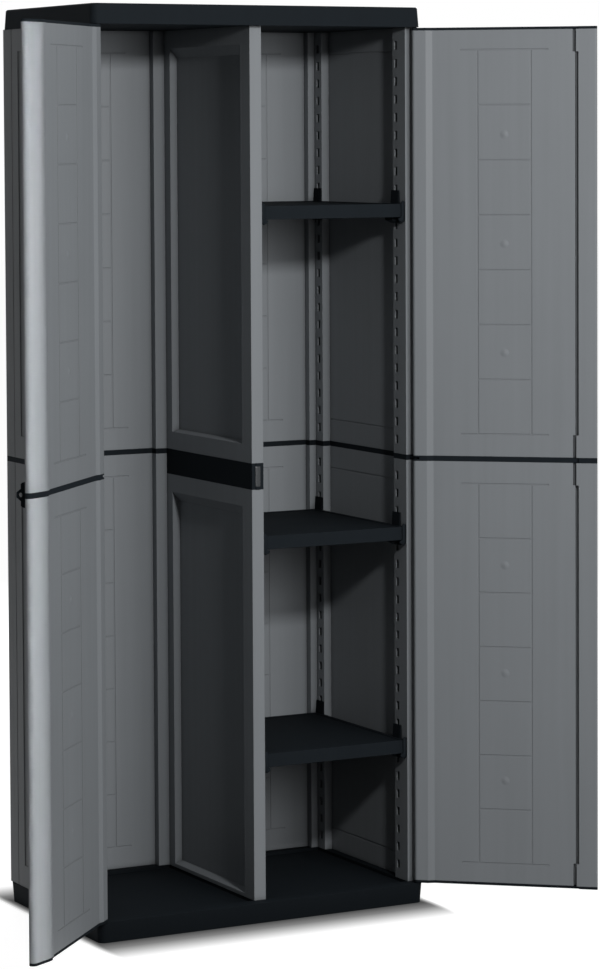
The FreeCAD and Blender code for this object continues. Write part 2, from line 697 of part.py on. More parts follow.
def make_door_panel(name, side, hand, part, low, high):
    piece = Piece(name, side)
    end = panel_end(hand)
    start = STILES[hand] + dim.seat_gap
    section = BORDER + [
        (end, face_field), (end, tongue_high), (tongue_end(hand), tongue_high),
        (tongue_end(hand), tongue_low), (start, tongue_low), (start, face_out),
    ]
    piece.pad(section, low, high)
    for y in (face_out, face_in):
        piece.round_edges(dim.edge_round, upright_at(hinge_edge * side, y))
    for x, y in chambers(hand):
        piece.cut(x, y, (low - 1, high + 1))
    for rail in ((low - 1, low + dim.rail_height), (high - dim.rail_height, high + 1)):
        piece.cut((end - 1, end + dim.stile_jog), (tongue_high, face_in), rail)
    foot, head = low + dim.rail_height, high - dim.rail_height
    if part == "lower":
        foot = foot - dim.end_strip
    else:
        head = head + dim.end_strip
    ladder(piece, hinge_edge - dim.door_width / 2, (face_field - dim.line_depth, face_field + 1), foot, head)
    border = dim.face_border
    piece.cut((start + border, hinge_edge - border), (face_out - 1, face_out + dim.face_recess), (foot, head))
    return piece


def stile_section(hand):
    start = STILES[hand]
    return FREE_ENDS[hand] + [
        (start, face_in), (start, tongue_high + dim.seat_gap),
        (tongue_end(hand) - dim.seat_gap, tongue_high + dim.seat_gap),
        (tongue_end(hand) - dim.seat_gap, tongue_low - dim.seat_gap),
        (start, tongue_low - dim.seat_gap),
    ]


def round_free_edge(piece, hand):
    for x, y, radius in FREE_ROUNDS[hand]:
        piece.round_edges(radius, upright_at(x * piece.side, y))


def make_door_stile(name, side, hand, low, high):
    piece = Piece(name, side)
    piece.pad(stile_section(hand), low, high)
    round_free_edge(piece, hand)
    start = STILES[hand]
    for rail in ((low, low + dim.rail_height), (high - dim.rail_height, high)):
        piece.add((start - 1, start + dim.stile_jog), (tongue_high + dim.seat_gap, face_in), rail)
    return piece


def strip_section(hand):
    """Outline of a whole door, for the strips that cross panel and stile."""
    free = FREE_ENDS[hand][::-1]
    step = [(STILES[hand], face_out)] if hand == "left" else []
    free = free if hand == "left" else free[:-1]
    return free + step + BORDER + [(STILES[hand], face_field), (STILES[hand], face_in)]


def door_strip(name, side, hand, low, high):
    piece = Piece(name, side)
    piece.pad(strip_section(hand), low, high)
    round_free_edge(piece, hand)
    for y in (face_out, face_in):
        piece.round_edges(dim.edge_round, upright_at(hinge_edge * side, y))
    return piece


def add_tongues(piece, hand, low, high):
    for x, y in chambers(hand):
        piece.add(peg(x), peg(y), (low, high))


def make_door_joint(name, side, hand):
    piece = door_strip(name, side, hand, joint_low, joint_high)
    add_tongues(piece, hand, joint_high, joint_high + dim.peg_height)
    add_tongues(piece, hand, joint_low - dim.peg_height, joint_low)
    slot_low = dim.joint_level - dim.eye_height / 2 - dim.eye_gap
    slot_high = dim.joint_level + dim.eye_height / 2 + dim.eye_gap
    piece.cut((-dim.eye_radius - dim.eye_room, hinge_edge + 1), (face_out - 1, face_in + 1),
              (slot_low, slot_high))
    piece.rod("Additive", 0, 0, dim.pin_radius, slot_low - 1, slot_high + 1)
    return piece


def make_door_end(name, side, hand, low, high, pin):
    piece = door_strip(name, side, hand, low, high)
    if pin == "up":
        add_tongues(piece, hand, low - dim.peg_height, low)
        piece.rod("Additive", 0, 0, dim.pin_radius, high - 1, high + dim.door_end_gap + dim.pin_depth)
    else:
        add_tongues(piece, hand, high, high + dim.peg_height)
        piece.rod("Additive", 0, 0, dim.pin_radius, low - dim.door_end_gap - dim.pin_depth, low + 1)
    return piece


# Grip with a padlock lug, on the outside of each door at the joint
def make_grip(name, side, hand):
    piece = Piece(name, side)
    middle = free_edge + dim.grip_inset
    foot = -face_lap
    if hand == "right":
        middle = lip_edge + dim.grip_thick / 2 + dim.lap_gap / 2
        foot = -face_out
    level = dim.joint_level
    half = dim.grip_height / 2
    lug = dim.lug_height / 2
    reach = foot + dim.grip_reach
    tip = foot + dim.lug_reach
    shoulder = dim.grip_reach / 5
    fin = [
        (-foot, level - half), (-foot, level + half), (shoulder - reach, level + half - shoulder),
        (-reach, level + half - shoulder * 2), (-reach, level + lug + shoulder),
        (-tip, level + lug / 2), (-tip, level - lug / 2), (-reach, level - lug - shoulder),
        (-reach, level - half + shoulder * 2), (shoulder - reach, level - half + shoulder),
    ]
    x0, x1 = (middle - dim.grip_thick / 2) * side, (middle + dim.grip_thick / 2) * side
    if side < 0:
        x0, x1 = x1, x0
    piece.pad(fin, x0, x1, "YZ_Plane")
    piece.add((middle - dim.grip_thick / 2, middle + dim.grip_thick / 2 + dim.grip_foot),
              (-foot - dim.grip_plate, -foot), (level - half, level + half))
    hole = piece.primitive("SubtractiveCylinder", x0 - 1, -tip + dim.lug_hole * 1.75, level,
                           {"Radius": dim.lug_hole, "Height": dim.grip_thick + 2})
    piece.turn(hole, FreeCAD.Vector(0, 1, 0), 90)
    return piece


def make_door(hand, side, angle):
    pieces = []
    for part, (low, high) in DOOR_PANELS.items():
        pieces.append(make_door_panel(f"door_{hand}_{part}", side, hand, part, low, high))
        pieces.append(make_door_stile(f"door_{hand}_stile_{part}", side, hand, low, high))
    pieces.append(make_door_joint(f"door_{hand}_joint", side, hand))
    pieces.append(make_door_end(f"door_{hand}_top_strip", side, hand,
                                door_high - dim.end_strip, door_high, "up"))
    pieces.append(make_door_end(f"door_{hand}_bottom_strip", side, hand,
                                door_low, door_low + dim.end_strip, "down"))
    pieces.append(make_grip(f"door_{hand}_grip", side, hand))
    for piece in pieces:
        piece.swing(pin_x * side, pin_y, angle * side)


make_base()
make_cap()
for hand, side in (("left", -1), ("right", 1)):
    for part, (low, high) in WALL_PANELS.items():
        make_side_panel(f"side_{hand}_{part}", side, low, high)
        make_back_panel(f"back_{hand}_{part}", side, low, high)
    make_side_joint(f"side_{hand}_joint", side)
    make_back_joint(f"back_{hand}_joint", side)
make_divider_panel("divider_lower", dim.base_height, band_low)
make_divider_panel("divider_upper", joint_high, cap_level)
make_divider_joint()
for place, top in SHELVES.items():
    make_shelf(f"shelf_{place}", top)
    make_brackets(f"brackets_{place}", top)
make_door("left", -1, dim.left_open)
make_door("right", 1, dim.right_open)

doc.recompute()
for item in doc.Objects:
    if "Invalid" in item.State or "Error" in item.State:
        raise RuntimeError(f"{item.Name} ({item.Label}) failed: {item.State}")

os.makedirs("parts", exist_ok=True)
grouped = {link for item in doc.Objects if item.TypeId == "Part::Compound" for link in item.Links}
nodes = [item for item in doc.Objects
         if item.TypeId in ("PartDesign::Body", "Part::Compound") and item not in grouped]
for node in nodes:
    shape = node.Shape
    if shape.isNull() or not shape.isValid() or not shape.Solids:
        raise RuntimeError(f"{node.Label} has no valid solid")
    shape.exportStep(os.path.join("parts", node.Label + ".step"))
    print(f"{node.Label}: {len(shape.Solids)} solid(s), {shape.Volume / 1000:.1f} cm3")
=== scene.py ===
import json
import math

import bmesh
import bpy
from bpy.props import FloatProperty, FloatVectorProperty, PointerProperty
from mathutils import Matrix, Vector


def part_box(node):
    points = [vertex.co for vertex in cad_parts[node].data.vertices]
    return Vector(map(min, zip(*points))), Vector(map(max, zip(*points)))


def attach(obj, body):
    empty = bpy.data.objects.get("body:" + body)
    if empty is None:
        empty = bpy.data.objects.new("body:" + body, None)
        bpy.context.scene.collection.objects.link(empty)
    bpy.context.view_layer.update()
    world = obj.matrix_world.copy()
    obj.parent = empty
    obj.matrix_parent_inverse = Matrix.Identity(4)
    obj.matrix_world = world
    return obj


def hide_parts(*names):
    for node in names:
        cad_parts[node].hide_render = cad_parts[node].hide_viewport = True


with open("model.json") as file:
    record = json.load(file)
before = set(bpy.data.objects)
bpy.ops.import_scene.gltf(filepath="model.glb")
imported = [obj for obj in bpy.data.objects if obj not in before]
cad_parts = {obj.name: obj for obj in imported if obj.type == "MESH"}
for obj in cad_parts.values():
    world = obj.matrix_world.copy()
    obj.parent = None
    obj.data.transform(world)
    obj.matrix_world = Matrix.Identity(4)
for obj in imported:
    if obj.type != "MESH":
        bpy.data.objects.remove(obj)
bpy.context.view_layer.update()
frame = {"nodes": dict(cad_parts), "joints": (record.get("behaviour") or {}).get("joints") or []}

bl_info = {
    "name": "Garden cabinet finish",
    "version": (1, 0, 0),
    "blender": (4, 5, 0),
    "location": "View3D > Sidebar > Cabinet",
    "description": "Resin finishes, moulded details, stage and camera for a two-door garden cabinet",
    "category": "Material",
}

CABINET = "cabinet"
GREY_NODES = [name for name in frame["nodes"]
              if name.startswith(("side_", "back_", "divider_", "door_"))
              and name.endswith(("lower", "upper"))]
BLACK_NODES = [name for name in frame["nodes"] if name not in GREY_NODES]

# Camera: the photograph's height, the focal length and the row that the lens axis meets, in
# pixels, and the height of the sensor in millimetres
PICTURE_HEIGHT = 969
FOCAL_LENGTH = 3381.5
LENS_ROW = 300
SENSOR_SIZE = 36

# Resin: how often its patterns repeat in a metre, how much of the tone and roughness each makes
# up, how edges lighten as wear and painted highlight, and how corner occlusion becomes painted shade
FLOW_SCALE = 60
FLOW_SQUEEZE = (1, 1, 0.03)
CLOUD_SCALE = 7
FLOW_SHARE, CLOUD_SHARE, STIPPLE_SHARE = 0.6, 0.25, 0.15
CLOUD_ROUGHNESS, STIPPLE_ROUGHNESS = 0.10, 0.12
NOISE_MIDDLE = 0.5
WORN_AND_HIGHLIT_GAIN = 2
PAINTED_SHADE_STOPS = ((0.3, 0), (0.8, 1))
SOFT_SAMPLES = 6

# Door bosses, on a closed door measured from its pin: the foot and head of each leaf's ladder
# pattern, how many cells it has, the middles of the cells that have a boss, and the inner face
LADDERS = ((0.0865, 0.8030), (0.8970, 1.6145))
LADDER_CELLS = 7
BOSS_CELLS = (1.5, 3.5, 5.5)
BOSS_ACROSS = {"left": 0.170, "right": -0.170}
DOOR_INNER_FACE = 0.008
BOSS_SUNK = 0.0001
BOSS_TURNS = 32
BOSS_RINGS = 9
BOSS_CENTRE = 0.02

# Catch rib: its ends, half its width, its thickness, how much of that is set into the band, and
# how its ends round off and narrow
RIB_FOOT, RIB_HEAD = 0.811, 0.850
RIB_HALF = 0.0052
RIB_THICKNESS = 0.0005
RIB_SUNK = 0.0002
RIB_ROUNDING = 0.004
RIB_END_WIDTH = 0.75
RIB_FULLNESS = 0.6
RIB_STEPS = 24
RIB_TURNS = 16

# Shelf clips: each point is how far in from the shelf's edge it lies, and how high over the
# shelf's top for the head or over its underside for the toe. A layer is how far behind the
# shelf's front it lies and how far its outline is drawn in.
CLIP_HEAD = ((0, 0.004), (0.004, 0.006), (0.0075, 0.003), (0.0080, -0.004))
CLIP_TOE = ((0.0075, 0.002), (0.0100, -0.001), (0.0140, -0.003), (0.0120, -0.007),
            (0.0050, -0.010), (0.0010, -0.008), (0, -0.004))
CLIP_OVERLAP = 0.0004
CLIP_LAYERS = ((0.0004, 0.0), (-0.0018, 0.0), (-0.0026, 0.0008))
CLIP_WIDTH, CLIP_REACH = 0.008, 0.020

# Divider: the heights at the ends of its left recess and where they go. Only points left of
# RECESS_SIDE belong to that recess.
RECESS_MOVES = {"lower": {0.072: 0.045, 0.090: 0.050}, "upper": {0.907: 0.893}}
RECESS_SIDE = 0.0035
LEVEL_TOLERANCE = 0.0002

# Lamps: where they aim, and how wide and high they are
CABINET_MIDDLE = (0, 0, 0.9)
KEY_SIZE = (0.2, 0.2)
BOX_SIZE = (1.4, 1.6)
BACK_SIZE = (1.6, 1.6)
STRIP_AIM = (-0.563, -0.4375, 0.9)
STRIP_SIZE = (0.01, 2.1)
STRIP_SPREAD = math.radians(4)

# Floor: its size and place, its brightness for the camera and for the light that it throws back,
# and how the contact shadow painted into it fades
FLOOR_SIZE = 30
FLOOR_CELLS = 8
FLOOR_LEVEL = -0.0005
SEEN_FLOOR = 0.3
LIT_FLOOR = 0.04
SIDE_SQUEEZE = (6, 1, 1)
PAINTED_SHADOW_STOPS = ((0, 0.08), (0.30, 0.21), (0.55, 0.46), (0.80, 0.76), (1, 1))

BLACK = (0, 0, 0)
WHITE = (1, 1, 1)
ORIGIN = (0, 0, 0)


class CabinetFinish(bpy.types.PropertyGroup):
    """Colours and grain of the resins, and the size of the door bosses."""

    panel_colour: FloatVectorProperty(
        name="Panel colour", description="Grey resin of walls, divider and doors",
        subtype="COLOR", size=3, min=0, max=1, default=(0.191, 0.205, 0.218))
    frame_colour: FloatVectorProperty(
        name="Frame colour", description="Black resin of base, cap, shelves and joints",
        subtype="COLOR", size=3, min=0, max=1, default=(0.0124, 0.0158, 0.0192))
    grain_size: FloatProperty(
        name="Grain size", description="Spacing of the moulded stipple",
        unit="LENGTH", min=0.0002, max=0.01, default=0.0011)
    grain_depth: FloatProperty(
        name="Grain depth", description="Height of the moulded stipple",
        unit="LENGTH", min=0, max=0.001, default=0.00006)
    sink_size: FloatProperty(
        name="Sink size", description="Spacing of the slow waves in the broad faces",
        unit="LENGTH", min=0.01, max=0.5, default=0.07)
    sink_depth: FloatProperty(
        name="Sink depth", description="Height of the slow waves in the broad faces",
        unit="LENGTH", min=0, max=0.005, default=0.0002)
    edge_radius: FloatProperty(
        name="Edge radius", description="Rounding that the light shows on moulded edges",
        unit="LENGTH", min=0, max=0.01, default=0.0015)
    # Crevice shade reach and compartment shade reach: how far the painted shade from ambient occlusion
    # reaches out of grooves, corners and compartments.
    crevice_shade_reach: FloatProperty(
        name="Crevice reach", description="How far out of grooves and corners the dirt reaches",
        unit="LENGTH", min=0.001, max=0.1, default=0.014)
    compartment_shade_reach: FloatProperty(
        name="Shade reach", description="How far the black resin's dirt reaches out of the compartments",
        unit="LENGTH", min=0.01, max=1, default=0.25)
    boss_radius: FloatProperty(
        name="Boss radius", description="Radius of the low bosses in the doors' ladder cells",
        unit="LENGTH", min=0.002, max=0.03, default=0.0105)
    boss_rise: FloatProperty(
        name="Boss rise", description="Height of the low bosses in the doors' ladder cells",
        unit="LENGTH", min=0.0002, max=0.004, default=0.0013)


class CabinetStage(bpy.types.PropertyGroup):
    """Camera, lamps and floor."""

    lens: FloatProperty(
        name="Lens", description="Focal length for a picture 36 mm high",
        subtype="DISTANCE_CAMERA", min=10, max=400,
        default=FOCAL_LENGTH * SENSOR_SIZE / PICTURE_HEIGHT)
    camera_place: FloatVectorProperty(
        name="Camera place", description="Where the camera stands",
        subtype="TRANSLATION", unit="LENGTH", size=3, default=(-2.8834, -5.7115, 1.4701))
    camera_turn: FloatProperty(
        name="Camera turn", description="How far the camera turns from +Y towards +X",
        subtype="ANGLE", default=0.4933)
    camera_dip: FloatProperty(
        name="Camera dip", description="How far the camera looks down",
        subtype="ANGLE", default=0.0501)
    camera_roll: FloatProperty(
        name="Camera roll", description="How far the camera leans about its own axis",
        subtype="ANGLE", default=-0.0051)
    camera_shift: FloatProperty(
        name="Camera shift", description="Upright lens shift as a share of the picture's height",
        default=(LENS_ROW - PICTURE_HEIGHT / 2) / PICTURE_HEIGHT)
    key_power: FloatProperty(
        name="Key power", description="Strength of the small high lamp in front",
        unit="POWER", min=0, default=41)
    key_place: FloatVectorProperty(
        name="Key place", description="Where the small high lamp stands",
        subtype="TRANSLATION", unit="LENGTH", size=3, default=(-0.3, -2.78, 2.05))
    box_power: FloatProperty(
        name="Box power", description="Strength of the large soft box in front",
        unit="POWER", min=0, default=78)
    box_place: FloatVectorProperty(
        name="Box place", description="Where the large soft box stands",
        subtype="TRANSLATION", unit="LENGTH", size=3, default=(0.7, -4.7, 1.75))
    back_power: FloatProperty(
        name="Back box power", description="Strength of the soft box behind the cabinet",
        unit="POWER", min=0, default=90)
    back_place: FloatVectorProperty(
        name="Back box place", description="Where the soft box behind the cabinet stands",
        subtype="TRANSLATION", unit="LENGTH", size=3, default=(1.2, 4.0, 2.0))
    strip_power: FloatProperty(
        name="Strip power", description="Strength of the upright strip that lights the left door's stile",
        unit="POWER", min=0, default=0.45)
    strip_place: FloatVectorProperty(
        name="Strip place", description="Where the upright strip stands",
        subtype="TRANSLATION", unit="LENGTH", size=3, default=(-0.017, -1.616, 1.25))
    sky_level: FloatProperty(
        name="Sky level", description="Even light from all round", min=0, max=2, default=0.08)
    painted_shadow_reach: FloatProperty(
        name="Shadow reach", description="How far the contact shadow reaches in front of the base",
        unit="LENGTH", min=0.01, max=0.5, default=0.12)
    floor_lift: FloatProperty(
        name="Floor lift", description="White added to the floor in the picture, beside its own light",
        min=0, max=1, default=0.95)


class Value:
    """A socket that Python's arithmetic works on. Each operation adds a Math node."""

    def __init__(self, shader, socket):
        self.shader = shader
        self.socket = socket

    def math(self, operation, first, second):
        return self.shader.node("ShaderNodeMath", {"operation": operation}, {0: first, 1: second})

    def __add__(self, other):
        return self.math("ADD", self, other)

    __radd__ = __add__

    def __sub__(self, other):
        return self.math("SUBTRACT", self, other)

    def __rsub__(self, other):
        return self.math("SUBTRACT", other, self)

    def __mul__(self, other):
        return self.math("MULTIPLY", self, other)

    __rmul__ = __mul__


class Shader:
    """The nodes that are put into a new material or world."""

    def __init__(self, owner):
        owner.use_nodes = True
        self.owner = owner
        self.tree = owner.node_tree
        self.tree.nodes.clear()

    def node(self, kind, settings=None, inputs=None, output=0):
        """Adds a node: its settings first, then values or links for its sockets."""
        node = self.tree.nodes.new(kind)
        for key, value in (settings or {}).items():
            if key == "stops":
                self.set_stops(node.color_ramp.elements, value)
            else:
                setattr(node, key, value)
        for key, value in (inputs or {}).items():
            if isinstance(value, Value):
                self.tree.links.new(value.socket, node.inputs[key])
            else:
                node.inputs[key].default_value = value
        return Value(self, node.outputs[output] if node.outputs else None)

    def set_stops(self, ramp, stops):
        """Gives a ramp its stops, each a place and a grey level."""
        while len(ramp) < len(stops):
            ramp.new(1.0)
        for element, (place, level) in zip(ramp, stops):
            element.position = place
            element.color = (level, level, level, 1)

    def mix(self, factor, first, second):
        """Blends two colours. A Mix node's colour sockets are inputs 6 and 7 and output 2."""
        return self.node("ShaderNodeMix", {"data_type": "RGBA"}, {0: factor, 6: first, 7: second}, 2)

    def surface(self, sockets):
        """Ends a material with one Principled shader and gives the material."""
        skin = self.node("ShaderNodeBsdfPrincipled", inputs=sockets)
        self.node("ShaderNodeOutputMaterial", inputs={"Surface": skin})
        return self.owner


def rgba(colour, level=1.0):
    return tuple(channel * level for channel in colour) + (1.0,)


def resin(name, colour, finish, reach, roughness, shine, streak, painted_darkening, wear_and_edge_highlight):
    """Moulded resin: stipple, sink waves, upright flow streaks, edges lightened as wear and painted
    highlight, and painted shade in corners.
    """
    shader = Shader(bpy.data.materials.new(name))
    place = shader.node("ShaderNodeTexCoord", output="Object")
    stretched = shader.node("ShaderNodeMapping", inputs={"Vector": place, "Scale": FLOW_SQUEEZE})
    flow = shader.node("ShaderNodeTexNoise",
                       inputs={"Vector": stretched, "Scale": FLOW_SCALE, "Detail": 6})
    cloud = shader.node("ShaderNodeTexNoise",
                        inputs={"Vector": place, "Scale": CLOUD_SCALE, "Detail": 6})
    stipple = shader.node("ShaderNodeTexNoise",
                          inputs={"Vector": place, "Scale": 1 / finish.grain_size, "Detail": 2})
    sink = shader.node("ShaderNodeTexNoise",
                       inputs={"Vector": place, "Scale": 1 / finish.sink_size, "Detail": 1})
    tone = flow * FLOW_SHARE + cloud * CLOUD_SHARE + stipple * STIPPLE_SHARE
    coat = shader.mix(tone, rgba(colour, 1 - streak), rgba(colour, 1 + streak))
    # Worn and highlit edges: where the bevelled normal turns from the flat one, the colour is lightened,
    # partly as edge wear and partly as a painted highlight.
    rounded = shader.node("ShaderNodeBevel", {"samples": SOFT_SAMPLES}, {"Radius": finish.edge_radius})
    flat = shader.node("ShaderNodeNewGeometry", output="Normal")
    turned = shader.node("ShaderNodeVectorMath", {"operation": "DOT_PRODUCT"}, {0: rounded, 1: flat}, 1)
    worn_and_highlit_edges = shader.node("ShaderNodeClamp", inputs={"Value": (1 - turned) * WORN_AND_HIGHLIT_GAIN})
    coat = shader.mix(worn_and_highlit_edges, coat, rgba(colour, 1 + wear_and_edge_highlight))
    # Painted shade: ambient occlusion darkens the colour in grooves and corners. With the black resin's
    # long reach it also darkens deep inside the compartments and along the base.
    painted_shade_occlusion = shader.node("ShaderNodeAmbientOcclusion", {"samples": SOFT_SAMPLES},
                          {"Distance": reach}, "AO")
    painted_shade_mask = shader.node("ShaderNodeValToRGB", {"stops": PAINTED_SHADE_STOPS}, {0: painted_shade_occlusion})
    coat = shader.mix(painted_shade_mask, rgba(colour, 1 - painted_darkening), coat)
    height = stipple * finish.grain_depth + sink * finish.sink_depth
    relief = shader.node("ShaderNodeBump", inputs={"Height": height, "Distance": 1.0, "Normal": rounded})
    matt = (roughness + (cloud - NOISE_MIDDLE) * CLOUD_ROUGHNESS
            + (stipple - NOISE_MIDDLE) * STIPPLE_ROUGHNESS)
    return shader.surface({"Base Color": coat, "Roughness": matt, "Normal": relief,
                           "Specular IOR Level": shine})


def paint(names, material):
    for name in names:
        slots = frame["nodes"][name].data.materials
        slots.clear()
        slots.append(material)


class CABINET_OT_grey_mouldings(bpy.types.Operator):
    """Give walls, divider and doors their grey resin"""

    bl_idname = "cabinet.grey_mouldings"
    bl_label = "Grey mouldings"

    def execute(self, context):
        finish = context.scene.cabinet_finish
        grey = resin("panel_resin", finish.panel_colour, finish, finish.crevice_shade_reach,
                     roughness=0.55, shine=0.3, streak=0.12, painted_darkening=0.6, wear_and_edge_highlight=0.12)
        paint(GREY_NODES, grey)
        return {"FINISHED"}


class CABINET_OT_black_mouldings(bpy.types.Operator):
    """Give base, cap, shelves, brackets, joints and grips their black resin"""

    bl_idname = "cabinet.black_mouldings"
    bl_label = "Black mouldings"

    def execute(self, context):
        finish = context.scene.cabinet_finish
        black = resin("frame_resin", finish.frame_colour, finish, finish.compartment_shade_reach,
                      roughness=0.65, shine=0.025, streak=0.15, painted_darkening=0.6, wear_and_edge_highlight=0.3)
        paint(BLACK_NODES, black)
        return {"FINISHED"}


def door_matrix(hand):
    """Where a door's own sizes, measured from its pin when it is closed, lie at rest."""
    hinge = next(joint for joint in frame["joints"] if joint["name"] == f"{hand}_door_hinge")
    pin = Vector((hinge["pos_m"][0], hinge["pos_m"][1], 0))
    opened = math.radians(-hinge["range_deg"][0] * hinge["axis"][2])
    return Matrix.Translation(pin) @ Matrix.Rotation(opened, 4, "Z")


def piece_from(form, name, body, material):
    """Turns a worked form into a smooth-shaded piece that rides on a body."""
    bmesh.ops.remove_doubles(form, verts=form.verts, dist=1e-6)
    bmesh.ops.recalc_face_normals(form, faces=form.faces)
    for face in form.faces:
        face.smooth = True
    mesh = bpy.data.meshes.new(name)
    form.to_mesh(mesh)
    form.free()
    mesh.materials.append(bpy.data.materials[material])
    piece = bpy.data.objects.new(name, mesh)
    bpy.context.scene.collection.objects.link(piece)
    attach(piece, body)


def sweep(form, rows, closed):
    """Joins rows of points with faces; closed also joins each row's ends."""
    rings = [[form.verts.new(point) for point in row] for row in rows]
    count = len(rings[0])
    for first, second in zip(rings, rings[1:]):
        for index in range(count if closed else count - 1):
            after = (index + 1) % count
            form.faces.new((first[index], first[after], second[after], second[index]))
    return rings


class CABINET_OT_door_bosses(bpy.types.Operator):
    """Raise the low round bosses in every second cell of the doors' ladder pattern"""

    bl_idname = "cabinet.door_bosses"
    bl_label = "Door bosses"

    def execute(self, context):
        finish = context.scene.cabinet_finish
        for hand, across in BOSS_ACROSS.items():
            form = bmesh.new()
            place = door_matrix(hand)
            for foot, head in LADDERS:
                cell = (head - foot) / LADDER_CELLS
                for step in BOSS_CELLS:
                    middle = Vector((across, DOOR_INNER_FACE, foot + cell * step))
                    self.make_boss(form, place, middle, finish.boss_radius, finish.boss_rise)
            piece_from(form, f"door_{hand}_bosses", f"{hand}_door", "panel_resin")
        return {"FINISHED"}

    def make_boss(self, form, place, middle, radius, rise):
        """A dome with a cosine profile, its rim sunk a little into the door."""
        rows = []
        for ring in range(BOSS_RINGS + 1):
            reach = max(ring / BOSS_RINGS, BOSS_CENTRE)
            up = rise * (math.cos(math.pi * reach) + 1) / 2 - BOSS_SUNK
            angles = (math.tau * turn / BOSS_TURNS for turn in range(BOSS_TURNS))
            rows.append([place @ (middle + Vector((radius * reach * math.cos(angle), up,
                                                   radius * reach * math.sin(angle))))
                         for angle in angles])
        rings = sweep(form, rows, True)
        form.faces.new(rings[0])


class CABINET_OT_catch_rib(bpy.types.Operator):
    """Put the smooth upright rib on the front of the divider's joint band"""

    bl_idname = "cabinet.catch_rib"
    bl_label = "Catch rib"

    def execute(self, context):
        finish = context.scene.cabinet_finish
        resin("rib_resin", finish.frame_colour, finish, finish.crevice_shade_reach,
              roughness=0.28, shine=0.5, streak=0.1, painted_darkening=0.2, wear_and_edge_highlight=0.3)
        band_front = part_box("divider_joint")[0][1]
        length = RIB_HEAD - RIB_FOOT
        form = bmesh.new()
        rows = []
        for step in range(RIB_STEPS + 1):
            share = step / RIB_STEPS
            near = min(share, 1 - share) * length / RIB_ROUNDING
            full = math.sqrt(max(0.0, 1 - (1 - min(near, 1)) ** 2))
            half = RIB_HALF * (RIB_END_WIDTH + (1 - RIB_END_WIDTH) * full)
            angles = (math.pi * turn / RIB_TURNS for turn in range(RIB_TURNS + 1))
            rows.append([(-half * math.cos(angle),
                          band_front + RIB_SUNK - RIB_THICKNESS * full * math.sin(angle) ** RIB_FULLNESS,
                          RIB_FOOT + length * share)
                         for angle in angles])
        sweep(form, rows, False)
        piece_from(form, "divider_catch_rib", CABINET, "rib_resin")
        return {"FINISHED"}


class CABINET_OT_shelf_clips(bpy.types.Operator):
    """Add the rounded clips that hold each shelf's front corners"""

    bl_idname = "cabinet.shelf_clips"
    bl_label = "Shelf clips"

    def execute(self, context):
        for name in ("bottom", "middle", "top"):
            low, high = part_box(f"shelf_{name}")
            form = bmesh.new()
            self.make_clip(form, high[0] + CLIP_OVERLAP, -1, low[1], low[2], high[2])
            self.make_clip(form, low[0] - CLIP_OVERLAP, 1, low[1], low[2], high[2])
            piece_from(form, f"shelf_{name}_clips", CABINET, "frame_resin")
        return {"FINISHED"}

    def make_clip(self, form, edge, inward, front, foot, head):
        """A thin hook in front of a corner, with its toe under the shelf."""
        outline = [(x, head + z) for x, z in CLIP_HEAD] + [(x, foot + z) for x, z in CLIP_TOE]
        middle = Vector((sum(x for x, z in outline), sum(z for x, z in outline))) / len(outline)
        rows = []
        for depth, inset in CLIP_LAYERS:
            rows.append([(edge + inward * (x + (middle.x - x) * inset / CLIP_WIDTH), front + depth,
                          z + (middle.y - z) * inset / CLIP_REACH) for x, z in outline])
        rings = sweep(form, rows, True)
        form.faces.new(rings[-1])


class CABINET_OT_divider_panels(bpy.types.Operator):
    """Stand crisper mouldings in for the divider's halves, with thin lips at the recess ends"""

    bl_idname = "cabinet.divider_panels"
    bl_label = "Divider panels"

    def execute(self, context):
        for part, levels in RECESS_MOVES.items():
            node = frame["nodes"][f"divider_{part}"]
            mesh = node.data.copy()
            for point in mesh.vertices:
                for old, new in levels.items():
                    if point.co.x < RECESS_SIDE and abs(point.co.z - old) < LEVEL_TOLERANCE:
                        point.co.z = new
            piece = bpy.data.objects.new(f"divider_panel_{part}", mesh)
            context.scene.collection.objects.link(piece)
            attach(piece, CABINET)
            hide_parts(f"divider_{part}")
        return {"FINISHED"}


def lamp(name, place, target, size, power):
    """A rectangular lamp that the camera doesn't see."""
    data = bpy.data.lights.new(name, "AREA")
    data.shape = "RECTANGLE"
    data.size, data.size_y = size
    data.energy = power
    thing = bpy.data.objects.new(name, data)
    thing.visible_camera = False
    thing.location = place
    thing.rotation_euler = (Vector(target) - Vector(place)).to_track_quat("-Z", "Y").to_euler()
    bpy.context.scene.collection.objects.link(thing)
    return thing


def white_to_camera(shader):
    """1 for what the camera sees directly, in a gloss or through something clear, and else 0."""
    direct = shader.node("ShaderNodeLightPath", output="Is Camera Ray")
    gloss = shader.node("ShaderNodeLightPath", output="Is Glossy Ray")
    clear = shader.node("ShaderNodeLightPath", output="Is Transmission Ray")
    seen = direct + gloss + clear
    return shader.node("ShaderNodeMath", {"operation": "MINIMUM"}, {0: seen, 1: 1.0})


